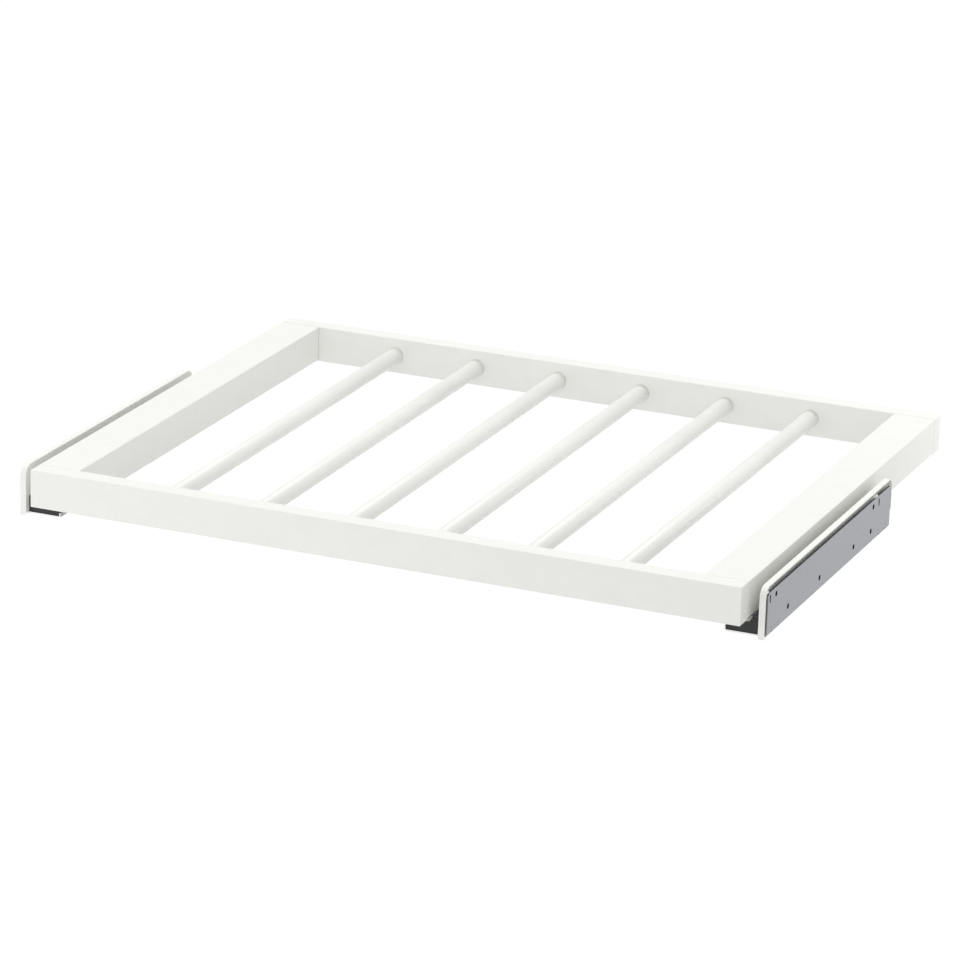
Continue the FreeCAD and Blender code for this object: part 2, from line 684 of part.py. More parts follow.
def rail_screw(y):
    """Pan-head screw from below through the inner rail into the side rail."""
    seat = side_rail_bottom - rail_sheet
    shank = cylinder(screw_diameter / 2, (runner_x, y, seat), (0, 0, 1), screw_length)
    tip = [e for e in shank.Edges if isinstance(e.Curve, Part.Circle)
           and e.BoundBox.ZMin > seat + screw_length - 0.01]
    shank = shank.makeChamfer(screw_diameter / 2 - 0.3, tip)
    head = cylinder(screw_head_diameter / 2, (runner_x, y, seat - screw_head_height), (0, 0, 1),
                    screw_head_height)
    rim = [e for e in head.Edges if isinstance(e.Curve, Part.Circle)
           and e.BoundBox.ZMax < seat - screw_head_height + 0.01]
    head = head.makeFillet(screw_head_height / 2, rim)
    return shank.fuse(head).cut(cross_recess(runner_x, y, seat - screw_head_height, recess_depth))


def front_clip(hand, gap=0.0):
    """Clip under the side rail's outer bottom edge, or with a gap, the room that it needs."""
    edge = side_spot(hand, side_outer_x)
    x0, x1 = sorted((edge - hand * (clip_hold + gap), edge + hand * (clip_reach + gap)))
    y0 = front_inner_y + clip_gap
    clip = box(x0, x1, y0 - gap, y0 + clip_length + gap, side_rail_bottom - clip_height - gap,
               side_rail_bottom)
    if gap:
        return clip
    rims = [e for e in clip.Edges if e.BoundBox.ZMin < side_rail_bottom - 0.01]
    return clip.makeFillet(clip_edge_radius, rims)


def rail_end_cap(hand):
    """Cap across the runner's front end and the gap beside the side rail."""
    y1 = inner_front_y - stop_gap
    x0, x1 = sorted((hand * (shelf_end_x + shelf_lip_thickness + cap_gap),
                     hand * (cover_inner_x - cap_gap)))
    plate = box(x0, x1, y1 - cap_thickness, y1, shelf_top + cap_gap, side_rail_bottom)
    return plate.cut(front_clip(hand, clip_gap))


# ---------------------------------------------------------------- nodes
os.makedirs("parts", exist_ok=True)

save("front_rail", [end_rail(front_y, front_inner_y, front_inner_y, -1)])
save("back_rail", [end_rail(back_inner_y, back_y, back_inner_y, 1)])
for number in range(rod_count):
    save("rod_%d" % (number + 1), [rod(number)])
save("corner_dowels", [dowel(*corner) for corner in corners()])
save("cam_bolts", [cam_bolt(*corner) for corner in corners()])
save("cam_locks", [cam_lock(*corner) for corner in corners()])

middle, middle_web_top = middle_rail()
lower_cage = ball_cage(lower_cage_start, lower_cage_length, lower_cage_height, lower_cage_bend,
                       lower_ball_height)
upper_cage = ball_cage(upper_cage_start, upper_cage_length, upper_cage_height, upper_cage_bend,
                       upper_ball_height)
for side_name, hand in (("right", 1), ("left", -1)):
    save(side_name + "_side_rail", [side_rail(hand)])
    save(side_name + "_rail_end_cap", [rail_end_cap(hand)])
    save(side_name + "_front_clip", [front_clip(hand)])
runner_pieces = {
    "runner_cover": [runner_cover()],
    "mounting_bracket": [mounting_bracket()],
    "outer_rail": [outer_rail()],
    "outer_rail_rivets": [rivet(*spot) for spot in rivet_spots()],
    "middle_rail": [middle],
    "closing_buffer": [closing_buffer(middle_web_top)],
    "inner_rail": [inner_rail()],
    "rail_screws": [rail_screw(y) for y in screw_ys()],
    "lower_ball_cage": [lower_cage],
    "lower_balls": balls(lower_cage_start, lower_cage_length, lower_ball_height),
    "upper_ball_cage": [upper_cage],
    "upper_balls": balls(upper_cage_start, upper_cage_length, upper_ball_height),
}
for name, solids in runner_pieces.items():
    save("right_" + name, solids)
    save("left_" + name, [mirrored(solid) for solid in solids])
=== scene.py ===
# %% [markdown]
# # A pull-out trouser rack for a wardrobe
# The rack is a shallow white frame with six rods across its depth. It hangs on two telescopic
# ball runners that are screwed to the wardrobe's sides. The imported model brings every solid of
# it, with its joints. This lesson gives each surface the finish of the real material, makes the
# turned and repeated pieces again with smooth faces, and sets up the studio round them.

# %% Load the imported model
import json
import math
import bmesh
import bpy
from mathutils import Matrix, Vector


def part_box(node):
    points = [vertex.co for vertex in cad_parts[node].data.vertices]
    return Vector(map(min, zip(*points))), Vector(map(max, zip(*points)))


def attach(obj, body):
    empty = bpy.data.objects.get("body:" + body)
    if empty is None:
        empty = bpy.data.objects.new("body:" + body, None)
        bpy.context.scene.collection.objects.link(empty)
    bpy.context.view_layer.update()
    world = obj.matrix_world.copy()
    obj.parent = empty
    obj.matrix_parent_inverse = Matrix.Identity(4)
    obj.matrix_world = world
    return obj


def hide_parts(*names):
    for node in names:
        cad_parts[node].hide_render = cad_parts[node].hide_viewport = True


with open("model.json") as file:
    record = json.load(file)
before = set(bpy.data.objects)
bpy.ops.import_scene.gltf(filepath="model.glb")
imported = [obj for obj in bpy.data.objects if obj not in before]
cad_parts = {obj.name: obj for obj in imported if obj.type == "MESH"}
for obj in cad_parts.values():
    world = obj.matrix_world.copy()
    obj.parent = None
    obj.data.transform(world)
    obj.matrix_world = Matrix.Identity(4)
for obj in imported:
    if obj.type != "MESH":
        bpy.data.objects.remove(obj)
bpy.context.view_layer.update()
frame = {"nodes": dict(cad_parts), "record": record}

print("nodes:", len(frame["nodes"]))

# %% [markdown]
# ## Small helpers
# Colours are written as sRGB hex values, the way a paint chart gives them, but a shader works
# in linear light. One function turns one into the other. Another adds a node together with its
# settings and its links, so that a material reads like a recipe: each line is one node. Most
# values of a noise lie between 0.3 and 0.7, so tones and gloss are spread over that band.
# The size of each pattern is given in millimetres. Mould grain, rolling lines and the grain of a
# coat are finer than this on the real pieces, often a tenth of a millimetre. That would be lost in
# a picture of the whole rack, so they are drawn as coarse as they need to show, 0.35 to 0.9 mm.

# %% Colour and node helpers
MM = 0.001                                  # the scene is in metres
LOW, HIGH = 0.3, 0.7                        # most of a noise lies in this band


def paint(hex_value):
    """sRGB hex to linear RGBA."""
    channels = [int(hex_value[i:i + 2], 16) / 255 for i in (1, 3, 5)]
    linear = [c / 12.92 if c <= 0.04045 else ((c + 0.055) / 1.055) ** 2.4 for c in channels]
    return (*linear, 1.0)


def feed(tree, node, inputs):
    """Set a node's inputs, by name or number, to values or to other nodes' outputs."""
    for name, value in inputs.items():
        if isinstance(value, bpy.types.NodeSocket):
            tree.links.new(value, node.inputs[name])
        else:
            node.inputs[name].default_value = value


def add(tree, kind, inputs=None, stops=(), **settings):
    """Add a node with its settings, its inputs and, on a colour ramp, its (place, hex) stops."""
    made = tree.nodes.new(kind)
    for name, value in settings.items():
        setattr(made, name, value)
    for number, (place, hex_value) in enumerate(stops):
        stop = made.color_ramp.elements[number]
        stop.position, stop.color = place, paint(hex_value)
    feed(tree, made, inputs or {})
    return made


def new_finish(name):
    """An empty material with its Principled shader, and the Object coordinates in metres."""
    material = bpy.data.materials.new(name)
    material.use_nodes = True
    tree = material.node_tree
    tree.nodes.clear()
    shader = add(tree, "ShaderNodeBsdfPrincipled")
    add(tree, "ShaderNodeOutputMaterial", {"Surface": shader.outputs["BSDF"]})
    place = add(tree, "ShaderNodeTexCoord").outputs["Object"]
    print("finish:", name)
    return material, tree, shader, place


def per_metre(size_mm):
    """Texture scale that makes one cell of a pattern this many millimetres wide."""
    return 1 / (size_mm * MM)


print("one 2 mm cell needs a texture scale of", per_metre(2.0))

# %% [markdown]
# ## White foil on particle board
# The rails are particle board wrapped in a white melamine-faced paper foil. The foil is pressed
# on over the edges, so it is smooth, a little glossy, and shows the faint unevenness of the
# board under it. It could be one flat white, but then the long faces look like plastic. Here a
# fine noise gives the foil's own print grain, a coarse one the board's telegraphing, and both
# stay so weak that they only show where light grazes the surface. The back rail goes on last, and
# leaves a hairline of shadow and bare core where the side rails end. A real gap would be thinner
# than a pixel from most views, so the finish darkens the last half millimetre of those ends.

# %% Foil-wrapped board
# A face looks along an axis where its normal's share of that axis is over the facing limit.
joint_inset, joint_half_width = 0.2 * MM, 0.35 * MM
facing_limit = 0.5


def foil_wrapped_board(back_joint_y):
    material, tree, shader, place = new_finish("white_melamine_foil_wrapped_on_board")
    board = add(tree, "ShaderNodeTexNoise", {"Vector": place, "Scale": per_metre(14.0),
                                             "Detail": 3.0, "Roughness": 0.5}).outputs["Fac"]
    grain = add(tree, "ShaderNodeTexNoise", {"Vector": place, "Scale": per_metre(0.9),
                                             "Detail": 2.0, "Roughness": 0.6}).outputs["Fac"]
    tone = add(tree, "ShaderNodeValToRGB", {"Fac": board},
               stops=((LOW, "#F7F7F3"), (HIGH, "#F9F9F5")))
    gloss = add(tree, "ShaderNodeMapRange", {"Value": grain, "From Min": LOW, "From Max": HIGH,
                                             "To Min": 0.40, "To Max": 0.48})
    wave = add(tree, "ShaderNodeBump", {"Height": board, "Strength": 0.10,
                                        "Distance": 0.03 * MM})
    skin = add(tree, "ShaderNodeBump", {"Height": grain, "Strength": 0.12, "Distance": 0.02 * MM,
                                        "Normal": wave.outputs["Normal"]})
    along = add(tree, "ShaderNodeSeparateXYZ", {"Vector": place}).outputs["Y"]
    facing = add(tree, "ShaderNodeNewGeometry").outputs["True Normal"]
    facing = add(tree, "ShaderNodeSeparateXYZ", {"Vector": facing}).outputs["Y"]
    facing = add(tree, "ShaderNodeMath", {0: facing}, operation="ABSOLUTE").outputs["Value"]
    broad = add(tree, "ShaderNodeMath", {0: facing, 1: facing_limit}, operation="LESS_THAN")
    joint = add(tree, "ShaderNodeMath", {0: along, 1: back_joint_y - joint_inset,
                                         2: joint_half_width}, operation="COMPARE")
    hairline = add(tree, "ShaderNodeMath", {0: joint.outputs["Value"], 1: broad.outputs["Value"]},
                   operation="MULTIPLY")
    colour = add(tree, "ShaderNodeMix", {"Factor": hairline.outputs["Value"],
                                         "A": tone.outputs["Color"], "B": paint("#BDBAB4")},
                 data_type="RGBA")
    feed(tree, shader, {"Base Color": colour.outputs["Result"], "IOR": 1.5,
                        "Roughness": gloss.outputs["Result"], "Normal": skin.outputs["Normal"]})
    return material


# %% [markdown]
# ## Powder coat on steel tube
# The rods are steel tube with a white powder coat. The powder melts and flows out in the oven,
# which leaves a thick, glossy skin with a soft orange peel of one to two millimetres. Voronoi
# cells would have hard borders, so a smooth noise at that size makes the peel.

# %% Powder-coated tube
def powder_coated_tube():
    material, tree, shader, place = new_finish("white_powder_coat_on_steel_tube")
    peel = add(tree, "ShaderNodeTexNoise", {"Vector": place, "Scale": per_metre(1.6),
                                            "Detail": 1.0, "Roughness": 0.4}).outputs["Fac"]
    flow = add(tree, "ShaderNodeTexNoise", {"Vector": place, "Scale": per_metre(22.0),
                                            "Detail": 2.0}).outputs["Fac"]
    tone = add(tree, "ShaderNodeValToRGB", {"Fac": flow},
               stops=((LOW, "#F7F7F3"), (HIGH, "#F9F9F5")))
    gloss = add(tree, "ShaderNodeMapRange", {"Value": flow, "From Min": LOW, "From Max": HIGH,
                                             "To Min": 0.36, "To Max": 0.42})
    skin = add(tree, "ShaderNodeBump", {"Height": peel, "Strength": 0.10, "Distance": 0.01 * MM})
    feed(tree, shader, {"Base Color": tone.outputs["Color"], "IOR": 1.52,
                        "Roughness": gloss.outputs["Result"], "Normal": skin.outputs["Normal"]})
    return material


# %% [markdown]
# ## Moulded plastic
# The covers are injection-moulded polypropylene from a spark-eroded mould, which gives a very
# fine, even pebble and a satin look. The small clips at the front are the same plastic in light
# grey. The caps on the inner rails are made nearly black as painted shade, for the dark space
# under the side rails in front of the runners. All three share one recipe, with the colour as the
# only difference. Smooth Voronoi cells make the pebble: rounded, closely packed pits, as sparks
# leave them in the mould.

# %% Moulded polypropylene
def moulded_plastic(name, light_hex, dark_hex):
    material, tree, shader, place = new_finish(name)
    pebble = add(tree, "ShaderNodeTexVoronoi", {"Vector": place, "Scale": per_metre(0.7),
                                                "Randomness": 1.0}, feature="SMOOTH_F1")
    cloud = add(tree, "ShaderNodeTexNoise", {"Vector": place, "Scale": per_metre(18.0),
                                             "Detail": 2.0}).outputs["Fac"]
    tone = add(tree, "ShaderNodeValToRGB", {"Fac": cloud},
               stops=((LOW, dark_hex), (HIGH, light_hex)))
    gloss = add(tree, "ShaderNodeMapRange", {"Value": cloud, "From Min": LOW, "From Max": HIGH,
                                             "To Min": 0.44, "To Max": 0.54})
    skin = add(tree, "ShaderNodeBump", {"Height": pebble.outputs["Distance"], "Strength": 0.15,
                                        "Distance": 0.03 * MM})
    feed(tree, shader, {"Base Color": tone.outputs["Color"], "IOR": 1.49,
                        "Roughness": gloss.outputs["Result"], "Normal": skin.outputs["Normal"]})
    return material


# %% [markdown]
# ## Galvanised sheet
# The brackets are cut and bent from hot-dip galvanised sheet. Modern zinc baths freeze in crystals
# so small that the spangle is only a faint unevenness: Voronoi cells, because crystals grow from
# seeds until they meet, each a shade lighter or darker. The cut faces carry painted light. The
# plate's holes and edges lie in the cover's groove and get a painted shade, nearly black. The
# plate's front edge gets a lighter painted shade, and the shelf's free ends a painted highlight.
# The true normal and the place tell these cuts from the broad faces, so one finish holds them all.
# Each condition is a node that gives 1 or 0, and a cut is where all of its conditions multiply to
# 1.

# %% Galvanised steel sheet
edge_depth = 0.3 * MM                       # how far behind the plate's front its edge reaches
end_limit = 0.9                             # a shelf's end looks this squarely along the rack


def galvanised_sheet(plate_inside_x, plate_front_y, shelf_top_z):
    material, tree, shader, place = new_finish("hot_dip_galvanised_steel_sheet")
    spangle = add(tree, "ShaderNodeTexVoronoi", {"Vector": place, "Scale": per_metre(1.8)},
                  feature="F1")
    crystal = add(tree, "ShaderNodeSeparateColor", {"Color": spangle.outputs["Color"]})
    dust = add(tree, "ShaderNodeTexNoise", {"Vector": place, "Scale": per_metre(0.5),
                                            "Detail": 2.0}).outputs["Fac"]
    tone = add(tree, "ShaderNodeValToRGB", {"Fac": crystal.outputs["Red"]},
               stops=((0.0, "#A3A5A9"), (1.0, "#A7A9AD")))

    facing = add(tree, "ShaderNodeNewGeometry").outputs["True Normal"]
    facing = add(tree, "ShaderNodeSeparateXYZ", {"Vector": facing}).outputs
    spot = add(tree, "ShaderNodeSeparateXYZ", {"Vector": place}).outputs
    holds = {}
    for name, value, comparison, limit in (
            ("on the plate", spot["X"], "GREATER_THAN", plate_inside_x),
            ("inside the plate", spot["X"], "LESS_THAN", plate_inside_x),
            ("above the shelf", spot["Z"], "GREATER_THAN", shelf_top_z),
            ("beside a broad face", facing["X"], "LESS_THAN", facing_limit),
            ("on an end", facing["Y"], "GREATER_THAN", end_limit)):
        size = add(tree, "ShaderNodeMath", {0: value}, operation="ABSOLUTE").outputs["Value"]
        holds[name] = add(tree, "ShaderNodeMath", {0: size, 1: limit},
                          operation=comparison).outputs["Value"]
    holds["at the front"] = add(tree, "ShaderNodeMath", {0: spot["Y"], 1: plate_front_y,
                                                         2: edge_depth},
                                operation="COMPARE").outputs["Value"]
    # Painted shade on the plate's cuts in the cover's groove, a lighter painted shade on its front
    # edge, and a painted highlight on the shelf's free ends.
    shaded_plate_cuts = ("on the plate", "above the shelf", "beside a broad face")
    colour = tone.outputs["Color"]
    for conditions, painted_light_tone in ((shaded_plate_cuts, "#3C3E40"), ((*shaded_plate_cuts, "at the front"), "#94969A"),
                             (("inside the plate", "on an end"), "#E4E4E2")):
        share = holds[conditions[0]]
        for name in conditions[1:]:
            share = add(tree, "ShaderNodeMath", {0: share, 1: holds[name]},
                        operation="MULTIPLY").outputs["Value"]
        colour = add(tree, "ShaderNodeMix", {"Factor": share, "A": colour, "B": paint(painted_light_tone)},
                     data_type="RGBA").outputs["Result"]
    gloss = add(tree, "ShaderNodeMapRange", {"Value": crystal.outputs["Green"], "To Min": 0.46,
                                             "To Max": 0.52})
    skin = add(tree, "ShaderNodeBump", {"Height": dust, "Strength": 0.10, "Distance": 0.01 * MM})
    feed(tree, shader, {"Base Color": colour, "Metallic": 1.0,
                        "Roughness": gloss.outputs["Result"], "Normal": skin.outputs["Normal"]})
    return material


# %% [markdown]
# ## Rolled and plated steel
# The runner's rails are rolled from strip and zinc plated afterwards, so fine lines run along
# them. The cages are bare bright strip. Noise that is stretched a hundred times along the rail
# draws such lines; a Wave texture would repeat too evenly.

# %% Rolled strip, zinc plated or bare
def rolled_strip(name, light_hex, dark_hex, smooth, rough):
    material, tree, shader, place = new_finish(name)
    along = add(tree, "ShaderNodeMapping", {"Vector": place, "Scale": (1.0, 0.01, 1.0)})
    lines = add(tree, "ShaderNodeTexNoise", {"Vector": along.outputs["Vector"], "Detail": 3.0,
                                             "Scale": per_metre(0.35)}).outputs["Fac"]
    cloud = add(tree, "ShaderNodeTexNoise", {"Vector": place, "Scale": per_metre(9.0),
                                             "Detail": 2.0}).outputs["Fac"]
    mixed = add(tree, "ShaderNodeMath", {0: lines, 1: cloud}, operation="MULTIPLY")
    tone = add(tree, "ShaderNodeValToRGB", {"Fac": mixed.outputs["Value"]},
               stops=((0.12, dark_hex), (0.42, light_hex)))
    gloss = add(tree, "ShaderNodeMapRange", {"Value": lines, "From Min": LOW, "From Max": HIGH,
                                             "To Min": smooth, "To Max": rough})
    skin = add(tree, "ShaderNodeBump", {"Height": lines, "Strength": 0.2, "Distance": 0.01 * MM})
    feed(tree, shader, {"Base Color": tone.outputs["Color"], "Metallic": 1.0,
                        "Roughness": gloss.outputs["Result"], "Normal": skin.outputs["Normal"]})
    return material


# %% [markdown]
# ## Cast and turned metal
# The cam locks are die-cast zinc: dull, with the fine grain of the mould. Screws, bolts and
# rivets are turned or headed steel with bright zinc, which is smoother and bluer. Balls are
# ground and polished, the smoothest metal here. One recipe serves all three: a grain of a given
# size, with its depth and the roughness as its inputs.

# %% Grained metal
def grained_metal(name, light_hex, dark_hex, grain_mm, depth_mm, smooth, rough):
    material, tree, shader, place = new_finish(name)
    grain = add(tree, "ShaderNodeTexNoise", {"Vector": place, "Scale": per_metre(grain_mm),
                                             "Detail": 3.0, "Roughness": 0.6}).outputs["Fac"]
    tone = add(tree, "ShaderNodeValToRGB", {"Fac": grain},
               stops=((LOW, dark_hex), (HIGH, light_hex)))
    gloss = add(tree, "ShaderNodeMapRange", {"Value": grain, "From Min": LOW, "From Max": HIGH,
                                             "To Min": smooth, "To Max": rough})
    skin = add(tree, "ShaderNodeBump", {"Height": grain, "Strength": 0.3,
                                        "Distance": depth_mm * MM})
    feed(tree, shader, {"Base Color": tone.outputs["Color"], "Metallic": 1.0,
                        "Roughness": gloss.outputs["Result"], "Normal": skin.outputs["Normal"]})
    return material


# %% [markdown]
# ## Beech and rubber
# The dowels are beech, a pale pinkish wood with short dark flecks along the grain. The runners'
# closing buffers are black rubber, which is matt and has hardly any reflection of its own.

# %% Beech and rubber
def turned_beech():
    material, tree, shader, place = new_finish("turned_beech_dowel")
    along = add(tree, "ShaderNodeMapping", {"Vector": place, "Scale": (1.0, 0.12, 1.0)})
    fibre = add(tree, "ShaderNodeTexNoise", {"Vector": along.outputs["Vector"], "Detail": 4.0,
                                             "Scale": per_metre(0.8)}).outputs["Fac"]
    tone = add(tree, "ShaderNodeValToRGB", {"Fac": fibre},
               stops=((0.35, "#B98A5E"), (0.62, "#DDB88F")))
    skin = add(tree, "ShaderNodeBump", {"Height": fibre, "Strength": 0.3, "Distance": 0.05 * MM})
    feed(tree, shader, {"Base Color": tone.outputs["Color"], "Roughness": 0.62,
                        "Normal": skin.outputs["Normal"]})
    return material


def black_rubber():
    material, tree, shader, place = new_finish("moulded_black_rubber")
    dust = add(tree, "ShaderNodeTexNoise", {"Vector": place, "Scale": per_metre(0.6),
                                            "Detail": 3.0}).outputs["Fac"]
    tone = add(tree, "ShaderNodeValToRGB", {"Fac": dust},
               stops=((LOW, "#161616"), (0.75, "#242424")))
    skin = add(tree, "ShaderNodeBump", {"Height": dust, "Strength": 0.3, "Distance": 0.04 * MM})
    feed(tree, shader, {"Base Color": tone.outputs["Color"], "Roughness": 0.8, "IOR": 1.52,
                        "Normal": skin.outputs["Normal"]})
    return material


# %% [markdown]
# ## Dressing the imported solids
# The record names a material slot for every node, so one table from slot to finish dresses the
# whole rack. The cuts of the bracket and the joint of the side rails are found from the boxes of
# their nodes. Both brackets share one finish, because it takes distances from the middle as
# absolute values.

# %% Finishes by material slot
bracket_low, bracket_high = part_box("right_mounting_bracket")
sheet_depth, shelf_depth = 1.6 * MM, 2.0 * MM     # just past the thickness of the sheet

finishes = {
    "white_foiled_board": foil_wrapped_board(back_joint_y=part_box("right_side_rail")[1].y),
    "white_coated_steel_tube": powder_coated_tube(),
    "white_moulded_plastic": moulded_plastic("white_moulded_polypropylene", "#FAFAF6", "#F8F8F4"),
    "light_grey_plastic": moulded_plastic("light_grey_moulded_polypropylene",
                                          "#B4B6B5", "#ADAFAE"),
    # The caps' charcoal is painted shade for the dark space under the side rails.
    "charcoal_plastic": moulded_plastic("charcoal_moulded_polypropylene", "#222524", "#1E2120"),
    "galvanised_sheet": galvanised_sheet(plate_inside_x=bracket_high.x - sheet_depth,
                                         plate_front_y=bracket_low.y,
                                         shelf_top_z=bracket_low.z + shelf_depth),
    "zinc_plated_rail": rolled_strip("zinc_plated_rolled_steel", "#C6C9CC", "#A8ACB0",
                                     smooth=0.28, rough=0.40),
    "bright_cage_strip": rolled_strip("bright_rolled_steel_strip", "#CFCFCD", "#B2B2B0",
                                      smooth=0.22, rough=0.34),
    "zinc_plated_fastener": grained_metal("zinc_plated_headed_steel", "#C3C7CB", "#AEB3B8",
                                          grain_mm=0.8, depth_mm=0.01, smooth=0.26, rough=0.36),
    "zinc_die_casting": grained_metal("as_cast_zinc", "#A9AAAB", "#8E8F90",
                                      grain_mm=0.5, depth_mm=0.05, smooth=0.45, rough=0.6),
    "bearing_steel": grained_metal("polished_bearing_steel", "#D2D2D2", "#C6C6C6",
                                   grain_mm=0.6, depth_mm=0.002, smooth=0.08, rough=0.12),
    "beech": turned_beech(),
    "black_rubber": black_rubber(),
}

for row in frame["record"]["subparts"]:
    frame["nodes"][row["node"]].material_slots[0].material = finishes[row["material_slot"]]

# %% [markdown]
# ## Repeats with Geometry Nodes
# Rods and bearing balls are the same piece many times over, in a straight row or in two rows.
# Copying objects by hand works, but a count or a pitch is then spread over many objects. A small
# Geometry Nodes tree keeps both as inputs: it takes one template mesh, sets it on the points of
# a grid, and turns the copies into real mesh at the end.

# %% The row-of-copies tree
def row_tree():
    tree = bpy.data.node_groups.new("copies_on_a_grid", "GeometryNodeTree")
    sockets = [("Template", "NodeSocketGeometry"), ("Across", "NodeSocketInt"),
               ("Along", "NodeSocketInt"), ("Size Across", "NodeSocketFloat"),
               ("Size Along", "NodeSocketFloat"), ("Centre", "NodeSocketVector"),
               ("Finish", "NodeSocketMaterial")]
    for name, kind in sockets:
        tree.interface.new_socket(name=name, in_out="INPUT", socket_type=kind)
    tree.interface.new_socket(name="Copies", in_out="OUTPUT", socket_type="NodeSocketGeometry")
    given = add(tree, "NodeGroupInput").outputs
    grid = add(tree, "GeometryNodeMeshGrid", {"Vertices X": given["Across"],
                                              "Vertices Y": given["Along"],
                                              "Size X": given["Size Across"],
                                              "Size Y": given["Size Along"]})
    moved = add(tree, "GeometryNodeTransform", {"Geometry": grid.outputs["Mesh"],
                                                "Translation": given["Centre"]})
    copies = add(tree, "GeometryNodeInstanceOnPoints", {"Points": moved.outputs["Geometry"],
                                                        "Instance": given["Template"]})
    real = add(tree, "GeometryNodeRealizeInstances", {"Geometry": copies.outputs["Instances"]})
    coloured = add(tree, "GeometryNodeSetMaterial", {"Geometry": real.outputs["Geometry"],
                                                     "Material": given["Finish"]})
    add(tree, "NodeGroupOutput", {"Copies": coloured.outputs["Geometry"]})
    return tree


copies_on_a_grid = row_tree()


def set_out(name, template, **values):
    """Copies of a template mesh on a grid, as one finished object at the origin."""
    worker = bpy.data.objects.new(name + "_worker", template)
    bpy.context.scene.collection.objects.link(worker)
    modifier = worker.modifiers.new("copies", "NODES")
    modifier.node_group = copies_on_a_grid
    for item in copies_on_a_grid.interface.items_tree:
        key = item.name.lower().replace(" ", "_")
        if item.in_out == "INPUT" and key in values:
            modifier[item.identifier] = values[key]
    graph = bpy.context.evaluated_depsgraph_get()
    mesh = bpy.data.meshes.new_from_object(worker.evaluated_get(graph))
    bpy.data.objects.remove(worker)
    mesh.name = name
    piece = bpy.data.objects.new(name, mesh)
    bpy.context.scene.collection.objects.link(piece)
    print(name, len(mesh.vertices), "vertices")
    return piece


# %% [markdown]
# ## Turning a profile
# A rod, like anything that comes off a lathe, is a line turned round an axis. The Screw modifier
# and Spin can do it, but they leave doubled points at the seam. Building the rings directly
# closes the seam by itself, and the order of the points decides that faces look outwards.

# %% Turned tube
def turned_tube(name, profile, steps):
    """Turn a closed line of (radius, place along Y) points round the Y axis."""
    verts, faces = [], []
    for radius, along in profile:
        for step in range(steps):
            angle = 2 * math.pi * step / steps
            verts.append((radius * math.cos(angle), along, radius * math.sin(angle)))
    for ring in range(len(profile)):
        a, b = ring * steps, (ring + 1) % len(profile) * steps
        for step in range(steps):
            after = (step + 1) % steps
            faces.append((a + step, b + step, b + after, a + after))
    mesh = bpy.data.meshes.new(name)
    mesh.from_pydata(verts, [], faces)
    mesh.polygons.foreach_set("use_smooth", [True] * len(faces))
    mesh.update()
    return mesh


# %% [markdown]
# ## The rods
# Each rod is a thin tube, 16 mm across, with its ends in blind sockets in the front and back
# rails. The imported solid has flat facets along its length, which a glossy coat shows, so a
# smooth tube with a slightly rounded end replaces it. All six come from one template.

# %% Six rods
rod_count, rod_steps = 6, 96
rod_wall, rod_end_round = 1.0 * MM, 0.3 * MM
rod_low, rod_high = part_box("rod_1")
last_low, last_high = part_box("rod_6")
rod_radius = (rod_high.z - rod_low.z) / 2
rod_rim, rod_bore = rod_radius - rod_end_round, rod_radius - rod_wall

rod_profile = [(rod_rim, rod_low.y), (rod_radius, rod_low.y + rod_end_round),
               (rod_radius, rod_high.y - rod_end_round), (rod_rim, rod_high.y),
               (rod_bore, rod_high.y), (rod_bore, rod_low.y)]
rods = set_out("rods", turned_tube("rod_template", rod_profile, rod_steps),
               across=rod_count, along=1,
               size_across=last_low.x - rod_low.x, size_along=0.0,
               centre=Vector(((rod_low.x + last_high.x) / 2, 0, (rod_low.z + rod_high.z) / 2)),
               finish=finishes["white_coated_steel_tube"])
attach(rods, "hanger_frame")
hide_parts(*["rod_%d" % (n + 1) for n in range(rod_count)])

# %% [markdown]
# ## Bearing balls
# Two rows of steel balls run between each pair of rails, and a cage keeps them apart. They are
# ground true to a micron, so a facet would show at once on their polish. A sphere of rings and
# segments crowds its faces at the poles; one divided from an icosahedron has faces of nearly equal
# size, and looks round with few of them. The same tree sets it out, two across and as many along
# as the cage has pockets.

# %% Four sets of balls
ball_pitch = 14.0 * MM
ball_divisions = 3


def ball_mesh(radius):
    shape = bmesh.new()
    bmesh.ops.create_icosphere(shape, subdivisions=ball_divisions, radius=radius)
    mesh = bpy.data.meshes.new("ball_template")
    shape.to_mesh(mesh)
    shape.free()
    mesh.polygons.foreach_set("use_smooth", [True] * len(mesh.polygons))
    return mesh


for side in ("right", "left"):
    for level in ("lower", "upper"):
        low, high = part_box(f"{side}_{level}_balls")
        ball_radius = (high.z - low.z) / 2
        row_length = high.y - low.y - 2 * ball_radius
        balls = set_out(f"{side}_{level}_bearing_balls", ball_mesh(ball_radius),
                        across=2, along=round(row_length / ball_pitch) + 1,
                        size_across=high.x - low.x - 2 * ball_radius, size_along=row_length,
                        centre=(low + high) / 2, finish=finishes["bearing_steel"])
        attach(balls, f"{side}_{level}_cage")
        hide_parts(f"{side}_{level}_balls")

# %% [markdown]
# ## The studio
# The rack hangs clear of any surface, as it does in a wardrobe, so the floor lies well below it
# and only takes a faint shadow. A white surround gives most of the light, because a white object
# has no other way to stay white all over. One wide lamp, above and a little behind, sets the tops
# apart from the sides and rolls off round the rods. It falls so steeply that the narrow gaps
# beside the covers stay in shade. Weak lamps from the left and the front, and two soft panels,
# grade the long faces. The surround is pure white to the camera, to gloss and to glass, but dimmer
# as a light, so the white board keeps its tone from most sides. Seen from behind and almost level,
# the side rails' tops still clip: the wide lamp has them nearly white, and the front lamp glances
# off them towards that side.

# %% Surround and floor
WHITE, PAPER = paint("#FFFFFF"), paint("#E2E2E2")
floor_height = -0.7


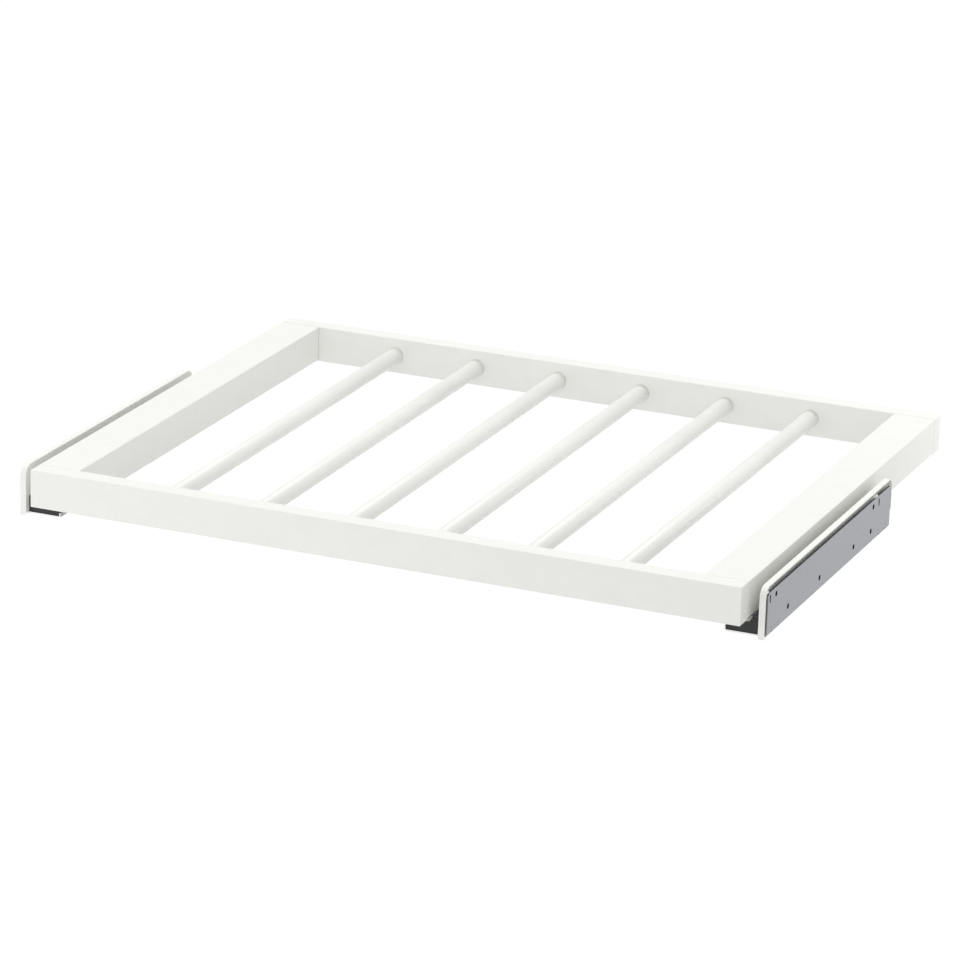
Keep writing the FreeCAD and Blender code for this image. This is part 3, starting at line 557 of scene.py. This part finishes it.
def seen_directly(tree):
    """1 for a ray from the camera, a reflection or glass, 0 for light that falls on the rack."""
    ray = add(tree, "ShaderNodeLightPath").outputs
    seen = add(tree, "ShaderNodeMath", {0: ray["Is Camera Ray"], 1: ray["Is Glossy Ray"]},
               operation="MAXIMUM").outputs["Value"]
    return add(tree, "ShaderNodeMath", {0: seen, 1: ray["Is Transmission Ray"]},
               operation="MAXIMUM").outputs["Value"]


def surround(ambient):
    world = bpy.data.worlds.new("white_studio")
    bpy.context.scene.world = world
    world.use_nodes = True
    tree = world.node_tree
    tree.nodes.clear()
    light = add(tree, "ShaderNodeBackground", {"Color": WHITE, "Strength": ambient})
    white = add(tree, "ShaderNodeBackground", {"Color": WHITE, "Strength": 1.0})
    mixed = add(tree, "ShaderNodeMixShader", {0: seen_directly(tree), 1: light.outputs[0],
                                              2: white.outputs[0]})
    add(tree, "ShaderNodeOutputWorld", {"Surface": mixed.outputs[0]})


def studio_floor(height, size, shadow_share, glow):
    """A white floor that keeps a soft shadow; from below it is clear, so the underside shows."""
    mesh = bpy.data.meshes.new("studio_floor")
    half = size / 2
    mesh.from_pydata([(-half, -half, height), (half, -half, height), (half, half, height),
                      (-half, half, height)], [], [(0, 1, 2, 3)])
    floor = bpy.data.objects.new("studio_floor", mesh)
    bpy.context.scene.collection.objects.link(floor)
    material = bpy.data.materials.new("white_paper_sweep")
    material.use_nodes = True
    tree = material.node_tree
    tree.nodes.clear()
    share = add(tree, "ShaderNodeMath", {0: seen_directly(tree), 1: 1 - shadow_share},
                operation="MULTIPLY")
    paper = add(tree, "ShaderNodeBsdfDiffuse", {"Color": PAPER})
    bright = add(tree, "ShaderNodeEmission", {"Color": WHITE, "Strength": glow})
    mixed = add(tree, "ShaderNodeMixShader", {0: share.outputs["Value"], 1: paper.outputs[0],
                                              2: bright.outputs[0]})
    underside = add(tree, "ShaderNodeNewGeometry").outputs["Backfacing"]
    clear = add(tree, "ShaderNodeBsdfTransparent")
    one_way = add(tree, "ShaderNodeMixShader", {0: underside, 1: mixed.outputs[0],
                                                2: clear.outputs[0]})
    add(tree, "ShaderNodeOutputMaterial", {"Surface": one_way.outputs[0]})
    mesh.materials.append(material)


surround(ambient=0.62)
studio_floor(height=floor_height, size=12.0, shadow_share=0.2, glow=1.1)

# %% Lamps
def soft_sun(name, travels, strength, spread_degrees):
    """A lamp whose light travels in the given direction; spread makes its shadows soft."""
    lamp = bpy.data.lights.new(name, "SUN")
    lamp.energy, lamp.angle = strength, math.radians(spread_degrees)
    holder = bpy.data.objects.new(name, lamp)
    holder.rotation_mode = "QUATERNION"
    holder.rotation_quaternion = Vector(travels).to_track_quat("-Z", "Y")
    bpy.context.scene.collection.objects.link(holder)


def soft_panel(name, place, aim, size, watts):
    """A square light panel at a place, turned to face the aim."""
    lamp = bpy.data.lights.new(name, "AREA")
    lamp.energy, lamp.size = watts, size
    holder = bpy.data.objects.new(name, lamp)
    holder.location = place
    holder.rotation_mode = "QUATERNION"
    holder.rotation_quaternion = (Vector(aim) - Vector(place)).to_track_quat("-Z", "Y")
    bpy.context.scene.collection.objects.link(holder)


soft_sun("top_lamp", travels=(0.10, -0.45, -0.88), strength=0.91, spread_degrees=30)
soft_sun("left_lamp", travels=(0.66, 0.06, -0.75), strength=0.25, spread_degrees=12)
soft_sun("front_lamp", travels=(-0.24, 0.91, -0.34), strength=0.34, spread_degrees=40)
soft_panel("left_front_panel", place=(-0.55, -1.05, 0.08), aim=(-0.30, -0.27, 0.03), size=0.5,
           watts=1.0)
soft_panel("right_back_panel", place=(0.60, 0.46, 0.12), aim=(0.35, 0.27, 0.03), size=0.2,
           watts=0.34)
bpy.context.scene.view_settings.view_transform = "Standard"
print("lamps:", len(bpy.data.lights))

# %% [markdown]
# ## The camera
# A long lens from the front, a little to the right and above. Its place and turn were worked
# out in the object's own frame. The matrix is built from the three directions that a camera has:
# its right, its up, and backwards, since a camera looks along its own -Z.

# %% Camera
camera_place = Vector((1.60246, -3.90995, 1.41432))
azimuth, elevation = math.radians(22.4527), math.radians(18.3446)
roll = math.radians(1.7043)
lens_mm, sensor_mm = 181.668, 36.0

forward = Vector((-math.sin(azimuth) * math.cos(elevation),
                  math.cos(azimuth) * math.cos(elevation), -math.sin(elevation)))
level_right = Vector((math.cos(azimuth), math.sin(azimuth), 0))
level_up = level_right.cross(forward)
camera_right = level_right * math.cos(roll) + level_up * math.sin(roll)
camera_up = level_up * math.cos(roll) - level_right * math.sin(roll)

lens = bpy.data.cameras.new("long_lens")
lens.lens, lens.sensor_width = lens_mm, sensor_mm
lens.clip_start, lens.clip_end = 0.1, 50.0
camera = bpy.data.objects.new("long_lens", lens)
camera.matrix_world = Matrix((camera_right, camera_up, -forward)).transposed().to_4x4()
camera.matrix_world.translation = camera_place
bpy.context.scene.collection.objects.link(camera)
bpy.context.scene.camera = camera
